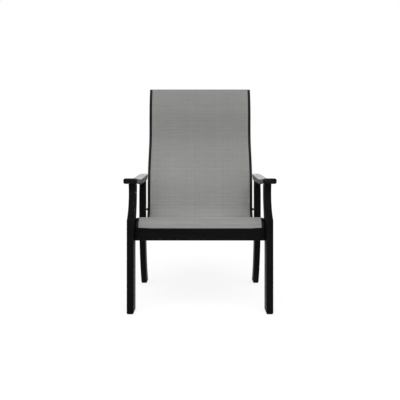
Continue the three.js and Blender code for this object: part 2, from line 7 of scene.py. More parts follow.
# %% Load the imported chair
import math

import bmesh
import bpy
import numpy as np
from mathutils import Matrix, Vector


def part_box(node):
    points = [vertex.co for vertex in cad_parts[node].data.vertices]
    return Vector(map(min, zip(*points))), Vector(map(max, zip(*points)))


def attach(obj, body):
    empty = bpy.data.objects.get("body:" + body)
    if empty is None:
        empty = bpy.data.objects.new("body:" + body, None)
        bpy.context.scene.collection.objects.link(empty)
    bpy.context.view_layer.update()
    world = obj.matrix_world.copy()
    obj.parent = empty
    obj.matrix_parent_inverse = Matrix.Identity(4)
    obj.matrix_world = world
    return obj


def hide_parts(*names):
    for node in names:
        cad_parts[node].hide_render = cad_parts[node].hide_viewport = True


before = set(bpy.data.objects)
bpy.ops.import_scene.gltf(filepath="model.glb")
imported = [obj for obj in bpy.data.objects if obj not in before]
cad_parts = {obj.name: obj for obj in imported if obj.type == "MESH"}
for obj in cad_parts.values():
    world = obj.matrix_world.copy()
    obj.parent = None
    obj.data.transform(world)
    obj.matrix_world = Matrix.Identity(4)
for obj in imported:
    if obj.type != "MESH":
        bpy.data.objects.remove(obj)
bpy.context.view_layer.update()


# %% [markdown]
# ## The camera
# The picture was taken level, from 2.3 m in front of the front legs and 0.707 m above the floor.
# A level camera keeps the legs upright. The chair sits low in the frame because the lens is
# shifted, not because the camera tilts. Setting it first lets every later step be judged from the
# same place.

# %% Place the camera
mm = 0.001
front_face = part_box("front_leg_right")[0].y
camera_distance, eye_height = 2.3, 0.7071
lens_length, sensor_width, lens_shift = 45.52, 36.0, -0.1025


def aim(thing, place, target):
    """Puts a camera or a lamp into the scene at a place, pointing at a target."""
    thing.location = place
    thing.rotation_euler = (Vector(target) - Vector(place)).to_track_quat("-Z", "Y").to_euler()
    bpy.context.scene.collection.objects.link(thing)


camera = bpy.data.objects.new("camera", bpy.data.cameras.new("camera"))
aim(camera, (0, front_face - camera_distance, eye_height), (0, 0, eye_height))
camera.data.lens = lens_length
camera.data.sensor_width = sensor_width
camera.data.shift_y = lens_shift
bpy.context.scene.camera = camera
print("camera at", [round(v, 3) for v in camera.location])

# %% [markdown]
# ## The sling line
# Seen from the side, the upper surface of the sling is one line: down the curled-back headrest,
# forward to the lumbar, round the bend, along the seat and over the rounded front edge. The rails,
# the cloth and the rods inside the rails all follow it, so it is drawn once, from arcs and curves
# with handles. A curve object could hold it, but a list of points is easier to measure: a distance
# from the top then names any place on it.

# %% Draw the sling line
def cubic(a, b, c, d, steps=200):
    """Points of a curve from a to d with handles b and c."""
    a, b, c, d = (np.array(point, float) for point in (a, b, c, d))
    t = np.linspace(0, 1, steps + 1)[:, None]
    return (1 - t) ** 3 * a + 3 * (1 - t) ** 2 * t * b + 3 * (1 - t) * t**2 * c + t**3 * d


def arc(centre, radius, first, last, steps=200):
    """Points of an arc between two angles, in degrees."""
    angle = np.radians(np.linspace(first, last, steps + 1))
    return np.array(centre) + radius * np.stack([np.cos(angle), np.sin(angle)], axis=1)


def lean(point, slope, rise):
    """A handle above or below a point, on a line that leans back by slope as it rises."""
    return np.array([point[0] + slope * rise, point[1] + rise])


def fall(point, angle, distance):
    """A handle behind or in front of a point, on a line that falls to the rear, in degrees."""
    angle = math.radians(angle)
    return np.array([point[0] + distance * math.cos(angle), point[1] - distance * math.sin(angle)])


def rise_between(upper, upper_slope, lower, lower_slope):
    """A curve from one place down to another that has a slope of its own at each."""
    third = (upper[1] - lower[1]) / 3
    return cubic(upper, lean(upper, upper_slope, -third), lean(lower, lower_slope, third), lower)


top, top_slope = np.array([751.0, 1126.5]), 0.5
head_top, head_bottom = np.array([712.5, 950.0]), np.array([712.5, 930.0])
shoulder, shoulder_slope = np.array([692.0, 784.0]), 0.47
lumbar = np.array([609.0, 540.0])
bend_centre, bend_radius, bend_angle = (504.0, 450.0), 105.0, -106
nose_centre, nose_radius, nose_angle = (88.0, 388.0), 43.0, 85
bend_end = arc(bend_centre, bend_radius, bend_angle, bend_angle, steps=1)[0]
nose_end = arc(nose_centre, nose_radius, nose_angle, nose_angle, steps=1)[0]
bend_pull, nose_pull = -110, 170
bend_handle = fall(bend_end, -90 - bend_angle, bend_pull)
nose_handle = fall(nose_end, 90 - nose_angle, nose_pull)
drawn = np.concatenate([
    rise_between(top, top_slope, head_top, 0),
    rise_between(head_bottom, 0, shoulder, shoulder_slope),
    rise_between(shoulder, shoulder_slope, lumbar, 0),
    arc(bend_centre, bend_radius, 0, bend_angle),
    cubic(bend_end, bend_handle, nose_handle, nose_end),
    arc(nose_centre, nose_radius, nose_angle, 180),
])
same_place = 1e-6
moved = np.linalg.norm(np.diff(drawn, axis=0), axis=1) > same_place
drawn = drawn[np.concatenate([[True], moved])]
travelled = np.concatenate([[0], np.cumsum(np.linalg.norm(np.diff(drawn, axis=0), axis=1))])
line_length = travelled[-1]
print("sling line", round(line_length, 1), "mm")

# %% Read places off the line
slope_reach = 1.5


def drawn_at(distance):
    """Points of the drawn line, held between its ends."""
    inside = np.clip(distance, 0, line_length)
    return np.stack([np.interp(inside, travelled, drawn[:, i]) for i in (0, 1)], axis=1)


def line_at(distance):
    """Points and directions of the sling line at distances from its top, in mm."""
    distance = np.atleast_1d(np.asarray(distance, float))
    inside = np.clip(distance, 0, line_length)
    along = drawn_at(inside + slope_reach) - drawn_at(inside - slope_reach)
    along /= np.linalg.norm(along, axis=1)[:, None]
    return drawn_at(inside) + along * (distance - inside)[:, None], along


def off_line(distance, x, n):
    """Points x mm out from the middle and n mm from the line towards the sitter, in metres."""
    point, along = line_at(distance)
    y = point[:, 0] + along[:, 1] * n
    z = point[:, 1] - along[:, 0] * n
    return np.stack([np.broadcast_to(x, y.shape) * mm, y * mm + front_face, z * mm], axis=1)


print("the line runs between", *line_at([0, line_length])[0].round(1).tolist())

# %% [markdown]
# ## Making pieces
# Most of this chair is lofted: an outline is carried from ring to ring and skinned with quads. One
# helper does that for the cloth, the rails, the arms and the screws. Another turns a list of
# corners and faces into a piece that rides with the chair and stands for its plain CAD node.

# %% A piece from corners and faces
sides = {"right": 1, "left": -1}
sharp_angle = 35


def make(name, corners, faces, finish, replaces=None, places=None, sharp=sharp_angle):
    """A mesh piece. places gives each corner's (across, along) in metres for woven patterns."""
    mesh = bpy.data.meshes.new(name)
    mesh.from_pydata([tuple(c) for c in corners], [], [tuple(f) for f in faces])
    if places is not None:
        layer = mesh.uv_layers.new(name="weave")
        index = np.empty(len(mesh.loops), np.int32)
        mesh.loops.foreach_get("vertex_index", index)
        layer.uv.foreach_set("vector", np.asarray(places, np.float32)[index].ravel())
    outward = bmesh.new()
    outward.from_mesh(mesh)
    bmesh.ops.recalc_face_normals(outward, faces=outward.faces)
    outward.to_mesh(mesh)
    outward.free()
    mesh.shade_smooth()
    mesh.set_sharp_from_angle(angle=math.radians(sharp))
    piece = bpy.data.objects.new(name, mesh)
    bpy.context.scene.collection.objects.link(piece)
    mesh.materials.append(finish)
    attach(piece, "root")
    if replaces:
        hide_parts(replaces)
    return piece


def refine(node, corners, faces, finish, sharp=sharp_angle):
    """A fine piece that stands for a plain CAD node."""
    return make(f"fine_{node}", corners, faces, finish, node, sharp=sharp)


def skin(rings):
    """Corners and faces of a closed tube through rings that all have as many corners."""
    count, around = len(rings), len(rings[0])
    start = np.arange(count - 1)[:, None] * around
    here, following = np.arange(around), np.roll(np.arange(around), -1)
    quads = np.stack([
        start + here, start + following, start + following + around, start + here + around,
    ], axis=2).reshape(-1, 4)
    last = (count - 1) * around
    ends = [list(range(around))[::-1], list(range(last, last + around))]
    return np.concatenate(rings), quads.tolist() + ends


print("sides", sides)

# %% [markdown]
# ## Black plastic board
# The side frames are sawn from solid boards of recycled polymer, coloured right through. Such board
# is satin, not glossy: its faces carry a faint combed grain along their length from the extruder,
# and its colour drifts a little. Stretched noise makes the grain. It is read in object space, so
# the grain keeps its true size on every board. The arms are smoother than the rest, so that their
# tops mirror the pale ground behind the chair.

# %% Small helpers for shader nodes
def new_finish(name, **values):
    """A material and its shader, with plain values on the shader's own sockets."""
    finish = bpy.data.materials.new(name)
    finish.use_nodes = True
    shader = finish.node_tree.nodes["Principled BSDF"]
    for socket, value in values.items():
        shader.inputs[socket.replace("_", " ")].default_value = value
    return finish, shader


def connect(finish, output, node, socket):
    finish.node_tree.links.new(output, node.inputs[socket])


def add_node(finish, kind, inputs=None, **settings):
    """A new node. Each input is a plain value or the output of another node."""
    node = finish.node_tree.nodes.new("ShaderNode" + kind)
    for setting, value in settings.items():
        setattr(node, setting, value)
    for socket, value in (inputs or {}).items():
        if isinstance(value, bpy.types.NodeSocket):
            connect(finish, value, node, socket)
        else:
            node.inputs[socket].default_value = value
    return node


def compute(finish, operation, *values):
    node = add_node(finish, "Math", dict(enumerate(values)), operation=operation)
    return node.outputs["Value"]


def noise(finish, scale, detail, roughness=0.55, place=None):
    """Noise with scale cells per metre, in object space unless place says where."""
    if place is None:
        place = add_node(finish, "TexCoord").outputs["Object"]
    cells = np.broadcast_to(scale, 3).tolist()
    stretched = add_node(finish, "Mapping", {"Vector": place, "Scale": cells}).outputs["Vector"]
    made = add_node(finish, "TexNoise", {
        "Vector": stretched, "Scale": 1.0, "Detail": detail, "Roughness": roughness,
    })
    return made.outputs["Fac"]


print("node helpers ready")

# %% Helpers that turn noise into a surface
noise_span = (0.3, 0.7)
# The Mix node has sockets for each kind of data. These are its colour sockets.
mix_dark, mix_light, mix_result = 6, 7, 2


def spread(finish, value, span=noise_span, result=(0.0, 1.0)):
    """A value stretched from one span to another. noise_span holds nearly all of a noise."""
    made = add_node(finish, "MapRange", {
        "Value": value, "From Min": span[0], "From Max": span[1],
        "To Min": result[0], "To Max": result[1],
    })
    return made.outputs["Result"]


def blend_colours(finish, factor, dark, light):
    made = add_node(finish, "Mix", {mix_dark: (*dark, 1), mix_light: (*light, 1)}, data_type="RGBA")
    connect(finish, factor, made, "Factor")
    return made.outputs[mix_result]


def bump(finish, shader, height, depth, strength):
    made = add_node(finish, "Bump", {"Height": height, "Distance": depth, "Strength": strength})
    connect(finish, made.outputs["Normal"], shader, "Normal")


def dress(finish, shader, tone, colours, grain, roughness, height, depth, strength):
    """Colour from tone, roughness from grain, and a relief as deep as depth metres from height."""
    connect(finish, blend_colours(finish, tone, *colours), shader, "Base Color")
    connect(finish, spread(finish, grain, noise_span, roughness), shader, "Roughness")
    bump(finish, shader, height, depth, strength)


print("surface helpers ready")

# %% Black board, one finish for each way that its grain runs
board_tones = ((0.0009, 0.0009, 0.001), (0.0042, 0.0042, 0.0046))
comb_scale, comb_depth, speckle_scale = 900, 0.0003, 1500
cloud_scale, cloud_least = 26, 5
streak_span = (0.12, 0.4)
grain_stretch = 0.02


def board_finish(name, grain_axis, roughness=(0.38, 0.6), relief=0.8, reflection=0.05):
    finish, shader = new_finish(name, Specular_IOR_Level=reflection)
    along = [grain_stretch if axis == grain_axis else 1.0 for axis in "xyz"]
    combed = noise(finish, [v * comb_scale for v in along], detail=4)
    cloudy = noise(finish, [v * cloud_scale + cloud_least for v in along], detail=2)
    speckle = noise(finish, speckle_scale, detail=1)
    streaks = spread(finish, compute(finish, "MULTIPLY", cloudy, combed), streak_span)
    height = compute(finish, "ADD", combed, speckle)
    dress(finish, shader, streaks, board_tones, combed, roughness, height, comb_depth, relief)
    return finish


upright_board = board_finish("upright_black_board", "z")
crosswise_board = board_finish("crosswise_black_board", "x")
arm_board = board_finish(
    "arm_black_board", "y", roughness=(0.09, 0.15), relief=0.08, reflection=0.08,
)
print("boards from", upright_board.name, "to", arm_board.name)

# %% [markdown]
# ## Powder-coated aluminium, nylon and steel
# The rails and spreader bars wear a satin black powder coat, whose skin has a fine orange-peel
# ripple. The caps, rods and foot pads are moulded nylon with a faint spark-eroded texture. The
# screws are blackened steel, with a brushed look turned by the lathe. All three are black with a
# fine grain, so one helper makes them.

# %% Finishes: rails, caps and screws
def grained_finish(name, scale, detail, colours, roughness, depth, strength, drift=None, **values):
    """A finish whose noise drives its roughness and relief, and its colour unless drift does."""
    finish, shader = new_finish(name, **values)
    grain = noise(finish, scale, detail)
    tone = noise(finish, drift, detail) if drift else grain
    dress(finish, shader, tone, colours, grain, roughness, grain, depth, strength)
    return finish


rail_finish = grained_finish(
    "black_powder_coat", scale=700, drift=9, detail=2, depth=0.00008, strength=0.5,
    colours=((0.0026, 0.0026, 0.0028), (0.0044, 0.0044, 0.0047)), roughness=(0.34, 0.44),
    Specular_IOR_Level=0.12,
)
nylon_finish = grained_finish(
    "black_moulded_nylon", scale=2200, detail=2, depth=0.00005, strength=0.6,
    colours=((0.003, 0.003, 0.003), (0.0055, 0.0055, 0.0055)), roughness=(0.5, 0.62),
    Specular_IOR_Level=0.12,
)
steel_finish = grained_finish(
    "blackened_steel", scale=(3000, 300, 3000), detail=3, depth=0.00003, strength=0.4,
    colours=((0.006, 0.006, 0.0065), (0.02, 0.02, 0.021)), roughness=(0.28, 0.45),
    Metallic=0.4, Specular_IOR_Level=0.2,
)
print("finishes from", rail_finish.name, "to", steel_finish.name)

# %% [markdown]
# ## Woven sling cloth
# The sling is woven from vinyl-coated polyester yarn, grey with a touch of warmth. Real weave is a
# checkerboard: at every crossing either the long yarn or the cross yarn is on top. Two sine waves
# multiplied give that checkerboard and its rounded yarns at once, and the colour is darkened along
# the gaps between the yarns as painted shade. Each yarn gets its own tone from white noise, and
# long soft streaks stand for slubs. A tiled picture of cloth would be quicker, but would repeat,
# and would blur when seen from near.

# %% Finishes: the weave
yarn_pitch = (1.35 * mm, 1.6 * mm)
yarn_share, slub_share = 0.35, 0.65
slub_scale, slub_detail, slub_roughness = (9, 260, 1), 3.0, 0.6
painted_gap_shade = 0.55
yarn_depth, yarn_relief, yarn_roughness = 0.0003, 0.7, (0.85, 0.6)


def woven_finish(name, dark, light):
    finish, shader = new_finish(
        name, Specular_IOR_Level=0.3, Sheen_Weight=0.3, Sheen_Roughness=0.5,
    )
    place = add_node(finish, "UVMap", uv_map="weave").outputs["UV"]
    count = (1 / yarn_pitch[0], 1 / yarn_pitch[1], 1)
    yarns = add_node(finish, "Mapping", {"Vector": place, "Scale": count}).outputs["Vector"]
    split = add_node(finish, "SeparateXYZ", {"Vector": yarns}).outputs
    waves, shades = [], []
    for axis in "XY":
        waves.append(compute(finish, "SINE", compute(finish, "MULTIPLY", split[axis], math.pi)))
        yarn = compute(finish, "FLOOR", split[axis])
        own = add_node(finish, "TexWhiteNoise", {"W": yarn}, noise_dimensions="1D")
        shades.append(own.outputs["Value"])
    crossing = compute(finish, "MULTIPLY", *waves)
    rounded = compute(finish, "POWER", compute(finish, "ABSOLUTE", crossing), 0.5)
    choice = {
        "Factor": compute(finish, "GREATER_THAN", crossing, 0.0), "A": shades[0], "B": shades[1],
    }
    shade = add_node(finish, "Mix", choice, data_type="FLOAT").outputs["Result"]
    slub = noise(finish, slub_scale, slub_detail, slub_roughness, place)
    yarn_part = compute(finish, "MULTIPLY", shade, yarn_share)
    mixed = compute(finish, "MULTIPLY_ADD", slub, slub_share, yarn_part)
    tone = blend_colours(finish, spread(finish, mixed), dark, light)
    # Painted shade: the colour is darkened where the yarns dip into the gaps between them.
    gap_shade = spread(finish, rounded, (0.0, 0.5), (painted_gap_shade, 1.0))
    layers = {0: 1.0, mix_dark: tone, mix_light: gap_shade}
    shaded = add_node(finish, "Mix", layers, data_type="RGBA", blend_type="MULTIPLY")
    connect(finish, shaded.outputs[mix_result], shader, "Base Color")
    connect(finish, spread(finish, rounded, (0.0, 1.0), yarn_roughness), shader, "Roughness")
    bump(finish, shader, rounded, yarn_depth, yarn_relief)
    return finish


sling_finish = woven_finish(
    "grey_woven_sling", dark=(0.265, 0.265, 0.255), light=(0.345, 0.345, 0.333),
)
thread_finish = grained_finish(
    "grey_thread", scale=1800, detail=1, depth=0.0001, strength=0.6,
    colours=((0.24, 0.24, 0.23), (0.36, 0.36, 0.35)), roughness=(0.6, 0.8),
    Specular_IOR_Level=0.3,
)
print("finishes", sling_finish.name, "and", thread_finish.name)

# %% [markdown]
# ## The sling cloth
# The cloth is one panel, 0.7 mm thick, that dips through a slot into each rail. It is a closed
# sheet: an outline across the chair, with an upper and a lower skin, carried down the sling line. A
# taut sling doesn't stay flat between its rails. Where the line is hollow, at the bend, its pull
# lifts it off that curve, and where the line is rounded, at the nose and the lumbar, it is pulled
# in. A cloth simulation could find that shape, but a taut sheet moves only a few millimetres, so a
# lift worked out from the line's own curvature gives them at once, and the same in every run.

# %% Work out how the pull lifts the cloth
line_samples = 1201
blur_width, blur_reach = 38, 90
lift_gain, least_lift, most_lift = 420, -2.2, 3.6
lift_fade, lift_half = 60, 270

even = np.linspace(0, line_length, line_samples)
_, ways = line_at(even)
curving = np.gradient(np.unwrap(np.arctan2(ways[:, 1], ways[:, 0])), even)
offsets = np.arange(-blur_reach, blur_reach + 1) * (even[1] - even[0])
window = np.exp(-0.5 * (offsets / blur_width) ** 2)
padded = np.pad(curving, blur_reach, mode="edge")
softened = np.convolve(padded, window / window.sum(), mode="valid")
ends_held = np.clip(np.minimum(even, line_length - even) / lift_fade, 0, 1)
lift_along = np.clip(-softened * lift_gain, least_lift, most_lift) * ends_held


def lift(x, distance):
    """How far the cloth stands off the sling line, towards the sitter, in mm."""
    share = np.clip(1 - (np.asarray(x) / lift_half) ** 2, 0, 1)
    return np.interp(distance, even, lift_along) * share


print("lift", round(lift_along.min(), 2), "to", round(lift_along.max(), 2), "mm")

# %% Stretch the sling
cloth_half, flat_half, flat_points = 286.0, 276.0, 24
cloth_thickness = 0.7
slot_turn, cloth_tail = 1.6, -3.9
cap_thickness = 2.5
cloth_end = line_length + cap_thickness
cloth_steps, cloth_sharp = 300, 60
corner_from, corner_width, corner_rise = 246, 14, 2.6


def cloth_skin(level):
    """Half the outline of one skin of the cloth, from the middle out into the slot."""
    flat = np.linspace(0, flat_half, flat_points)
    return np.concatenate([
        np.stack([flat, np.full(flat_points, level)], axis=1),
        arc((cloth_half - slot_turn, -slot_turn), slot_turn + level, 90, 0, steps=4),
        [[cloth_half + level, cloth_tail]],
    ])


upper, lower = cloth_skin(0.0), cloth_skin(-cloth_thickness)
cloth_outline = np.concatenate([
    upper[::-1] * (-1, 1), upper[1:], lower[::-1], lower[1:] * (-1, 1),
])
cloth_x, cloth_n = cloth_outline.T
past_corner = np.clip((np.abs(cloth_x) - corner_from) / corner_width, 0, 1)
rings, ring_places = [], []
for distance in np.linspace(0, cloth_end, cloth_steps + 1):
    own = np.minimum(distance, cloth_end - corner_rise * past_corner)
    rings.append(off_line(own, cloth_x, cloth_n + lift(cloth_x, own)))
    ring_places.append(np.stack([cloth_x * mm, own * mm], axis=1))
corners, faces = skin(rings)
sling = make(
    "sling_cloth", corners, faces, sling_finish, "sling",
    places=np.concatenate(ring_places), sharp=cloth_sharp,
)
print("sling", len(faces), "faces")

# %% [markdown]
# ## Hems and stitching
# Each long edge is folded back under itself, 38 mm wide, with the rod that locks it in the rail
# inside the fold. The fold shows only as a second layer below and as two rows of stitches above.
# The short edges are hemmed too. Each stitch is a small bead of thread, laid just above the cloth,
# because a row of real beads catches the light as a bump in the finish can't.

# %% Fold the hems
hem_width, hem_thickness, hem_gap = 38.0, 0.6, 0.02
side_hem_end, top_hem_start, front_hem_past = 1, 0.5, 1.5
hem_inner = cloth_half - hem_width


def hem(name, x_range, distance_range, along_steps, across_steps):
    """A second layer of cloth under the sling."""
    upper_level = -cloth_thickness - hem_gap
    xs = np.linspace(*x_range, across_steps + 1)
    x = np.concatenate([xs, xs[::-1]])
    level = np.repeat([upper_level, upper_level - hem_thickness], len(xs))
    rings, places = [], []
    for distance in np.linspace(*distance_range, along_steps + 1):
        own = np.full(len(x), distance)
        rings.append(off_line(own, x, level + lift(x, distance)))
        places.append(np.stack([x, own], axis=1) * mm)
    corners, faces = skin(rings)
    return make(
        name, corners, faces, sling_finish,
        places=np.concatenate(places), sharp=cloth_sharp,
    )


hems = [
    hem(
        f"side_hem_{side}", sorted((sign * hem_inner, sign * flat_half)),
        (side_hem_end, line_length - side_hem_end), along_steps=cloth_steps, across_steps=3,
    )
    for side, sign in sides.items()
]
across_hem = (-hem_inner, hem_inner)
hems += [
    hem("top_hem", across_hem, (top_hem_start, hem_width), along_steps=8, across_steps=40),
    hem(
        "front_hem", across_hem, (cloth_end - hem_width, line_length + front_hem_past),
        along_steps=12, across_steps=40,
    ),
]
print("hems", [h.name for h in hems])

# %% A row of stitches
thread_radius = 0.36
bead_sides, bead_sharp = 5, 80
bead_shape = [(0.18, 0.8), (0.5, 1.0), (0.82, 0.8)]
no_seam_runs = (0.31, 0.67, 0.21)


def stitches(name, starts, ends):
    """Beads of thread between pairs of points that are given as (x, distance, n)."""
    corners, faces = [], []
    for start, end in zip(starts, ends):
        a = off_line(start[1], start[0], start[2])[0]
        b = off_line(end[1], end[0], end[2])[0]
        way = (b - a) / np.linalg.norm(b - a)
        side = np.cross(way, no_seam_runs)
        side /= np.linalg.norm(side)
        other = np.cross(way, side)
        first = len(corners)
        corners.append(a)
        for share, size in bead_shape:
            middle = a + (b - a) * share
            for i in range(bead_sides):
                turn = 2 * math.pi * i / bead_sides
                out = side * math.cos(turn) + other * math.sin(turn)
                corners.append(middle + out * thread_radius * size * mm)
        corners.append(b)
        last = len(corners) - 1
        for i in range(bead_sides):
            j = (i + 1) % bead_sides
            faces.append((first, first + 1 + j, first + 1 + i))
            for ring in range(len(bead_shape) - 1):
                low = first + 1 + ring * bead_sides
                faces.append((low + i, low + j, low + bead_sides + j, low + bead_sides + i))
            faces.append((last, last - bead_sides + i, last - bead_sides + j))
    return make(name, corners, faces, thread_finish, sharp=bead_sharp)


print("a stitch has", 4 * bead_sides, "faces")

# %% Sew the hems
stitch_length, stitch_pitch, thread_level = 2.7, 3.6, 0.05
seam_insets, seam_margin = (3.0, 6.5), 4


def seam_along(name, x):
    """A row of stitches down the chair."""
    at = np.arange(seam_margin, line_length - seam_margin, stitch_pitch)
    start, end = (
        [(x, d, thread_level + lift(x, d)) for d in places] for places in (at, at + stitch_length)
    )
    return stitches(name, start, end)


def seam_across(name, distance):
    """A row of stitches across the chair."""
    at = np.arange(-hem_inner, hem_inner - stitch_length, stitch_pitch)
    start, end = (
        [(x, distance, thread_level + lift(x, distance)) for x in places]
        for places in (at, at + stitch_length)
    )
    return stitches(name, start, end)


seams = [
    seam_along(f"side_seam_{row}_{side}", sign * (hem_inner + inset))
    for side, sign in sides.items() for row, inset in enumerate(seam_insets, start=1)
]
seams.append(seam_across("top_seam", hem_width - seam_margin))
seams.append(seam_across("front_seam", cloth_end - hem_width + seam_margin))
print("seams", len(seams), "stitches", sum(len(s.data.polygons) for s in seams) // (4 * bead_sides))

# %% [markdown]
# ## The sling rails
# Each rail is an aluminium extrusion: a rounded box with a round channel behind a narrow slot. The
# cloth goes in through the slot and a rod in the channel keeps it there. Sweeping a section is what
# an extruder does, so it is drawn once and carried down the sling line.

# %% Draw the rail's section
rail_face, rail_depth = -1.5, 28.0
rail_back = rail_face - rail_depth
rail_outer, rail_inner = 302.1, 276.7
back_round, outer_round, inner_round = 3, 6, 2
slot_outer, slot_inner = 286.6, 283.6
slot_middle, slot_half = (slot_outer + slot_inner) / 2, (slot_outer - slot_inner) / 2
slot_lip, lip_edge = 2.2, 0.35
channel_radius = 4.0
channel_centre = rail_face - slot_lip - math.sqrt(channel_radius**2 - slot_half**2)
slot_angle = math.degrees(math.asin(slot_half / channel_radius))


def corner(x, n, radius, first, steps=5):
    """A quarter of a circle that starts at an angle in degrees."""
    return arc((x, n), radius, first, first + 90, steps)


def rail_outline(groove):
    """The section of the rails and their caps; groove is the part between the slot's lips."""
    return np.concatenate([
        corner(rail_outer - back_round, rail_back + back_round, back_round, -90),
        corner(rail_outer - outer_round, rail_face - outer_round, outer_round, 0, steps=8),
        [[slot_outer + lip_edge, rail_face], [slot_outer, rail_face - lip_edge]],
        groove,
        [[slot_inner, rail_face - lip_edge], [slot_inner - lip_edge, rail_face]],
        corner(rail_inner + inner_round, rail_face - inner_round, inner_round, 90, steps=4),
        corner(rail_inner + back_round, rail_back + back_round, back_round, 180),
    ])


channel = arc(
    (slot_middle, channel_centre), channel_radius, 90 - slot_angle, slot_angle - 270, steps=20,
)
rail_section = rail_outline(channel)
print("rail section", len(rail_section), "corners")

# %% Extrude the rails and slide in the rods
rail_steps = 260
cap_joint = 0.3
rod_radius = 3.2


def sweep(node, outline, distances, finish, sign):
    """An outline of (x, n) carried down the sling line, mirrored for the left side."""
    x, n = sign * outline[:, 0], outline[:, 1]
    corners, faces = skin([off_line(np.full(len(outline), d), x, n) for d in distances])
    return refine(node, corners, faces, finish)


rail_distances = np.linspace(cap_thickness + cap_joint, line_length - cap_joint, rail_steps + 1)
for side, sign in sides.items():
    node = f"sling_rail_{side}"
    rail = sweep(node, rail_section, rail_distances, rail_finish, sign)
rod = arc((slot_middle, channel_centre), rod_radius, 0, 360, steps=16)[1:]
for side, sign in sides.items():
    sweep(f"spline_rod_{side}", rod, rail_distances[::2], nylon_finish, sign)
print("rails", len(rail.data.polygons), "faces each")

# %% [markdown]
# ## Rail caps
# A moulded cap closes each end of a rail, with a notch that lets the cloth out. It has the rail's
# own outline, so the same section is swept again over 2.5 mm, and a small bevel softens its rim.

# %% Cap the rails
notch_depth = 0.3
cap_rim, rim_segments, rim_angle = 0.3, 2, 60


def soften(piece, width, segments, angle=40):
    """Rounds the edges that turn by more than an angle in degrees."""
    bevel = piece.modifiers.new("soft_edges", "BEVEL")
    bevel.width = width * mm
    bevel.segments = segments
    bevel.limit_method = "ANGLE"
    bevel.angle_limit = math.radians(angle)
    bevel.use_clamp_overlap = False


notch_end = cloth_tail - notch_depth
cap_section = rail_outline([[slot_outer, notch_end], [slot_inner, notch_end]])
cap_ends = {"top": (0, cap_thickness), "front": (line_length, cloth_end)}
for side, sign in sides.items():
    for place, ends in cap_ends.items():
        node = f"{place}_rail_cap_{side}"
        cap = sweep(node, cap_section, ends, nylon_finish, sign)
        soften(cap, cap_rim, rim_segments, rim_angle)
print("cap section", len(cap_section), "corners")

# %% [markdown]
# ## The legs
# A leg is a board sawn to shape, so it is drawn from the side as an outline and given the board's
# thickness. A router then rounds its edges, which a Bevel modifier does here. The saw follows long
# sweeps: the scoop under the arm in front, and the sabre shape behind.

# %% Draw the underside of the arm, which both legs meet
arm_length, arm_thickness, arm_joint = 655.0, 25.4, 0.3
arm_front_height, arm_dip, arm_rise, arm_lowest = 618.8, 11, 14.6, 225


def smooth_step(value, low, high):
    t = np.clip((value - low) / (high - low), 0, 1)
    return t * t * (3 - 2 * t)


def arm_top_at(y):
    """The height of the arm's top, which dips in the middle."""
    fallen = arm_front_height - arm_dip * smooth_step(y, 0, arm_lowest)
    return fallen + arm_rise * smooth_step(y, arm_lowest, arm_length)


def under_arm(y):
    return arm_top_at(y) - arm_thickness - arm_joint


print("arm top", *(round(float(arm_top_at(y)), 1) for y in (0, arm_lowest, arm_length)), "mm")

# %% Draw the legs
pad_thickness = 3.0
foot_depth, head_depth, head_straight = 76, 133.0, 29.3
sweep_start, sweep_handles = 300, (0.385, 0.655)
scoop_deepest, scoop_radius, scoop_drop = 67.0, 137.0, 43.9
rear_front, rear_back, foot_front, foot_back = 474.0, 553.5, 584.0, 655.0
back_pulls, front_pulls = (0.69, 0.23, 0.57), (0.55, 0.22, 0.59)
neck_cut, neck_height, neck_handles, sabre_start = 18, 100, ((6, 69), (0, 35)), 75
saw_steps, neck_steps = 48, 16


def front_leg_outline():
    """Straight at the foot, swept back to its head, with a round scoop in front under the arm."""
    scoop_centre = scoop_deepest - scoop_radius
    scoop_top = under_arm(scoop_deepest)
    scoop_height = scoop_top - scoop_drop
    last = math.degrees(math.asin((scoop_top - scoop_height) / scoop_radius))
    first = -math.degrees(math.acos(-scoop_centre / scoop_radius))
    back_top = under_arm(head_depth)
    sweep_end = back_top - head_straight
    rise = sweep_end - sweep_start
    return np.concatenate([
        [[0, pad_thickness], [foot_depth, pad_thickness]],
        cubic(
            (foot_depth, sweep_start), (foot_depth, sweep_start + rise * sweep_handles[0]),
            (head_depth, sweep_start + rise * sweep_handles[1]), (head_depth, sweep_end),
            saw_steps,
        ),
        [[head_depth, back_top]],
        arc((scoop_centre, scoop_height), scoop_radius, last, first, saw_steps),
    ])


def rear_leg_outline():
    """A sabre: upright under the arm, and swept back to its foot, with a neck cut in front."""
    neck_front = rear_front + neck_cut
    neck_end = under_arm(neck_front) - neck_height
    height = neck_end - sabre_start
    back_sweep, front_sweep = foot_back - rear_back, foot_front - rear_front
    return np.concatenate([
        [[foot_front, pad_thickness]],
        cubic(
            (foot_back, pad_thickness),
            (foot_back - back_sweep * back_pulls[0], pad_thickness + height * back_pulls[1]),
            (rear_back, pad_thickness + height * back_pulls[2]), (rear_back, height), saw_steps,
        ),
        [[rear_back, under_arm(rear_back)]],
        cubic(
            (neck_front, under_arm(neck_front)),
            *((rear_front + y, neck_end + z) for y, z in neck_handles),
            (rear_front, neck_end), neck_steps,
        ),
        cubic(
            (rear_front, height), (rear_front, pad_thickness + height * front_pulls[2]),
            (foot_front - front_sweep * front_pulls[0], pad_thickness + height * front_pulls[1]),
            (foot_front, pad_thickness), saw_steps,
        )[:-1],
    ])


leg_outlines = {"front_leg": front_leg_outline(), "rear_leg": rear_leg_outline()}
print("leg outlines", {leg: len(outline) for leg, outline in leg_outlines.items()}, "corners")

# %% [markdown]
# ## Screws
# Every screw sits where its CAD node does, so the node's own box gives its place. The head is
# countersunk: a cone let into the board until its flat top lies just under the surface, with a
# hexagon socket for the key. Real screws are turned, so a helper does what a lathe does, ring by
# ring, and a ring with a hexagon's radii gives the socket.

